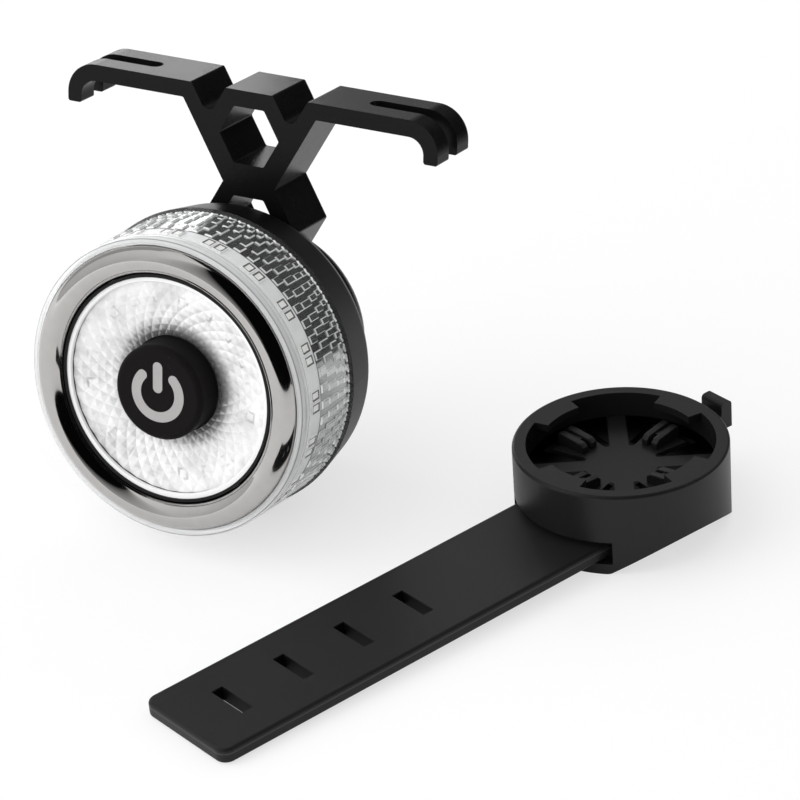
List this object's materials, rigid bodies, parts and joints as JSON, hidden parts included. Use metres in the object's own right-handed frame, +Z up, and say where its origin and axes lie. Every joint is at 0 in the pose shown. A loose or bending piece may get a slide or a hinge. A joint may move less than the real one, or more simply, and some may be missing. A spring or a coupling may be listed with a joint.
{
  "type": "bicycle tail light",
  "caption": "Round bicycle tail light with a push button, a clear lit rim and a two-winged saddle-rail bracket, beside a strap mount for a seat post.",
  "frame": {"origin": "bottom centre of the whole set's bounding box, on the surface that the light and the strap mount stand on", "axes": "+Z up; the light looks along -Y, tipped up by 9.8 degrees; +X to its right, where the strap mount lies"},
  "size_m": [0.093, 0.0868, 0.0525],
  "materials": {
    "clear_plastic": "clear, moulded with facets on its inside",
    "bright_trim": "bright dark chrome",
    "seal_rubber": "black, matt",
    "button_rubber": "black, satin",
    "symbol_plastic": "pale grey, translucent",
    "switch_plastic": "black",
    "white_board": "white solder mask",
    "switch_metal": "plain sheet steel",
    "led_resin": "pale chip on a white base",
    "white_plastic": "white, satin",
    "black_plastic": "black, fine grain",
    "green_board": "green solder mask",
    "chip_resin": "black moulded resin",
    "screw_steel": "plain steel",
    "cell_foil": "silver pouch",
    "foam": "dark grey foam",
    "lead_sleeve": "insulated wire",
    "flap_rubber": "black, matt",
    "bracket_plastic": "black, fine grain",
    "mount_plastic": "black, fine grain",
    "strap_rubber": "black, matt"
  },
  "bodies": {
    "light_body": {"side_cover": "clear_plastic", "chrome_bezel": "bright_trim", "bezel_gasket": "seal_rubber", "front_lens": "clear_plastic", "led_board": "white_board", "switch_body": "switch_metal", "front_leds": "led_resin", "reflector": "white_plastic", "inner_core": "black_plastic", "side_strip": "white_plastic", "side_leds": "led_resin", "main_board": "green_board", "circuit_chips": "chip_resin", "board_link": "chip_resin", "board_screws": "screw_steel", "battery_cell": "cell_foil", "battery_pad": "foam", "battery_leads": "lead_sleeve", "usb_socket": "switch_metal", "rear_shell": "black_plastic", "housing_seal": "seal_rubber"},
    "button": {"button_cap": "button_rubber", "power_symbol": "symbol_plastic", "switch_plunger": "switch_plastic"},
    "port_flap": {"port_cover": "flap_rubber"},
    "rail_bracket": {"saddle_bracket": "bracket_plastic"},
    "post_mount": {"mount_base": "mount_plastic", "seatpost_strap": "strap_rubber"}
  },
  "joints": [
    {"name": "button_press", "type": "slide", "parent": "light_body", "child": "button", "axis": [0, 0.9854, -0.1702], "range_m": [0, 0.0004], "stiffness_N_per_m": 300, "springref_m": -0.003},
    {"name": "port_flap_hinge", "type": "hinge", "parent": "light_body", "child": "port_flap", "pos_m": [-0.03843, 0.01514, 0.02589], "axis": [0, 0.9854, -0.1702], "range_deg": [0, 100]},
    {"name": "bracket_twist", "type": "hinge", "parent": "light_body", "child": "rail_bracket", "pos_m": [-0.01898, 0.01985, 0.01879], "axis": [0, -0.9854, 0.1702], "range_deg": [0, 45]},
    {"name": "post_mount_slide", "type": "slide", "parent": "light_body", "child": "post_mount", "axis": [1, 0, 0], "range_m": [0, 0.04]}
  ]
}
